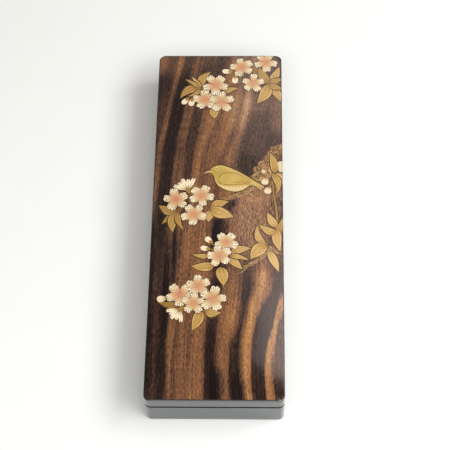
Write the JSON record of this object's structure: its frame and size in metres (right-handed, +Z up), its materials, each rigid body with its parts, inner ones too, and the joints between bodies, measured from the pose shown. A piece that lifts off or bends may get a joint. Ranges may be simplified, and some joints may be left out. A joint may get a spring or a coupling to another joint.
{
  "type": "lacquer box",
  "caption": "Long, shallow lacquered writing box with a flush lift-off lid, a standing inner rim and a striped ebony lid top painted with blossoms and a small bird.",
  "frame": {"origin": "middle of the underside", "axes": "+Z up, +Y along the box's length towards its back end, +X to the right seen from the front end"},
  "size_m": [0.08, 0.246, 0.027],
  "materials": {
    "black_lacquer": "polished black lacquer over wood",
    "striped_ebony": "striped ebony under clear gloss lacquer",
    "gold_maki_e": "gold powder sprinkled on lacquer and polished to a satin",
    "blossom_pigment": "cream and pink pigmented lacquer",
    "bird_pigment": "yellow-green pigmented lacquer"
  },
  "bodies": {
    "root": {"base": "black_lacquer", "lid": "black_lacquer", "lid_top_board": "striped_ebony"}
  },
  "joints": []
}
